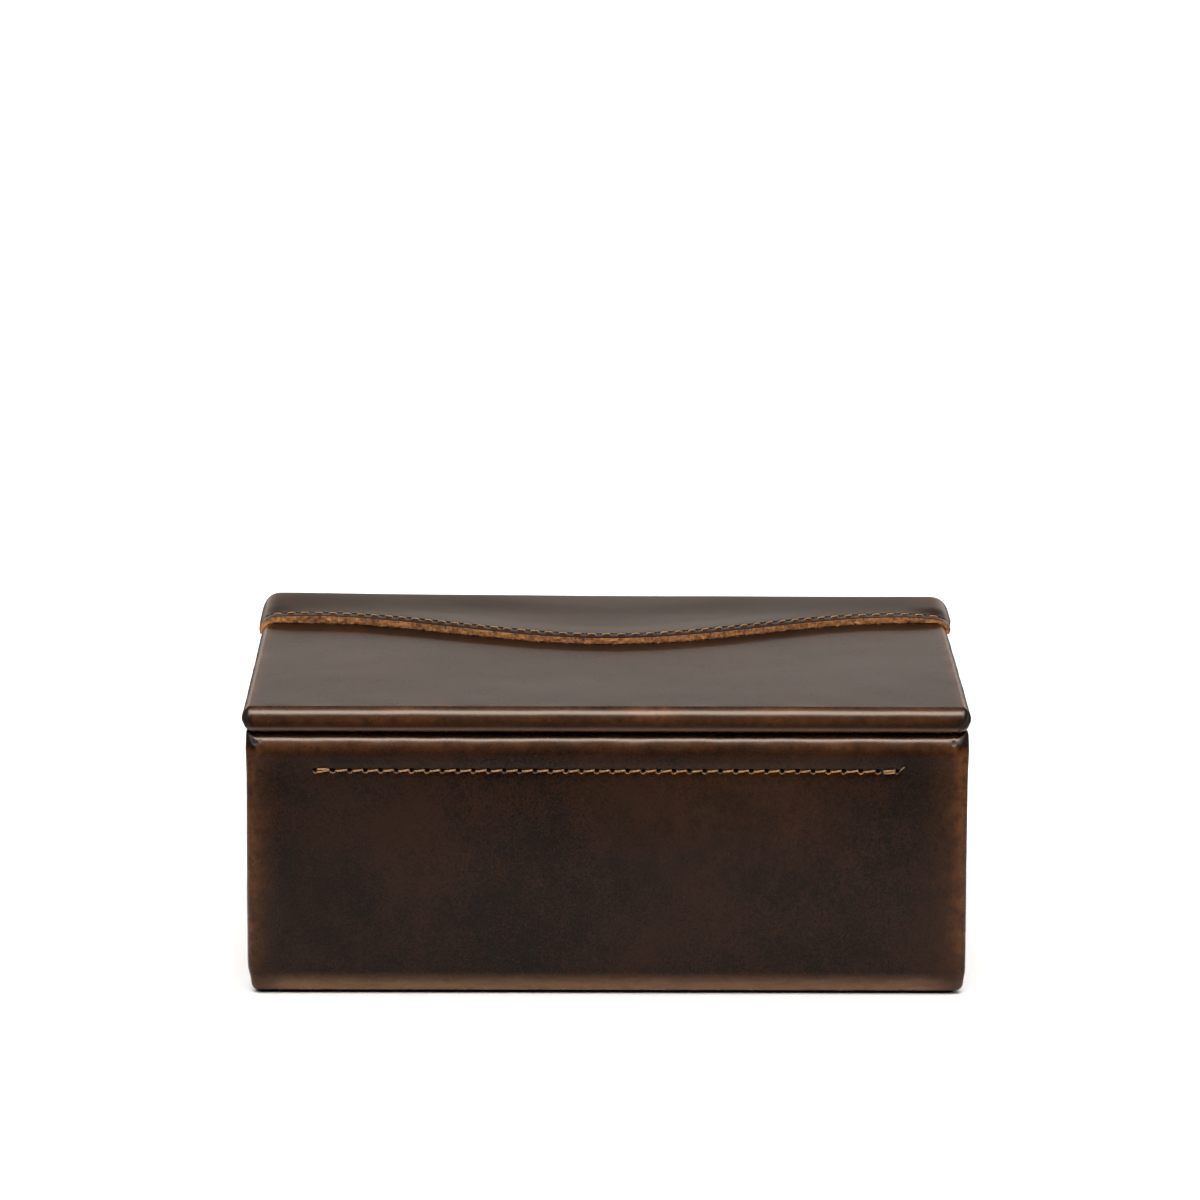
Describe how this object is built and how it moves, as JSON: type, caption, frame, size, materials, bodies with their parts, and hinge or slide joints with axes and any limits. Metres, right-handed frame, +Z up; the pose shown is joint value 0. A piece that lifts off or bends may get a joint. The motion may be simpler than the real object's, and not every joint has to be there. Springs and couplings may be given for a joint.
{
  "type": "lidded organizer box",
  "caption": "Low desk box covered in dark brown leather, with a leather-hinged lid, a stitched wavy flap and a divided inside.",
  "frame": {"origin": "centre of the overall size, on the table that the base cover rests on", "axes": "+Z up, +X to the right of someone facing the front, front face towards -Y"},
  "size_m": [0.2546, 0.177, 0.1051],
  "materials": {
    "waxed_leather": "waxed full-grain leather",
    "flap_leather": "waxed full-grain leather with raw edges",
    "waxed_thread": "waxed linen thread",
    "fibreboard": "bare fibreboard",
    "card": "grey card",
    "base_felt": "black felt",
    "suede": "tan suede",
    "divider_suede": "tan suede over card"
  },
  "bodies": {
    "box": {"base_board": "fibreboard", "base_cover": "base_felt", "base_filler": "card", "cross_divider": "divider_suede", "floor_lining": "suede", "front_board": "fibreboard", "front_lining": "suede", "front_seam_thread": "waxed_thread", "hinge_fold": "flap_leather", "leaf_seam_thread": "waxed_thread", "left_board": "fibreboard", "left_lining": "suede", "long_divider": "divider_suede", "outer_wrap": "waxed_leather", "rear_board": "fibreboard", "rear_leaf": "flap_leather", "rear_lining": "suede", "right_board": "fibreboard", "right_lining": "suede"},
    "lid": {"lid_board": "fibreboard", "lid_cover": "waxed_leather", "lid_filler": "card", "lid_lining": "suede", "lid_flap": "flap_leather", "lid_seam_thread": "waxed_thread"}
  },
  "joints": [
    {"name": "lid_hinge", "type": "hinge", "parent": "box", "child": "lid", "pos_m": [0, 0.08695, 0.0929], "axis": [-1, 0, 0], "range_deg": [0, 110], "deforming": ["hinge_fold"]}
  ]
}
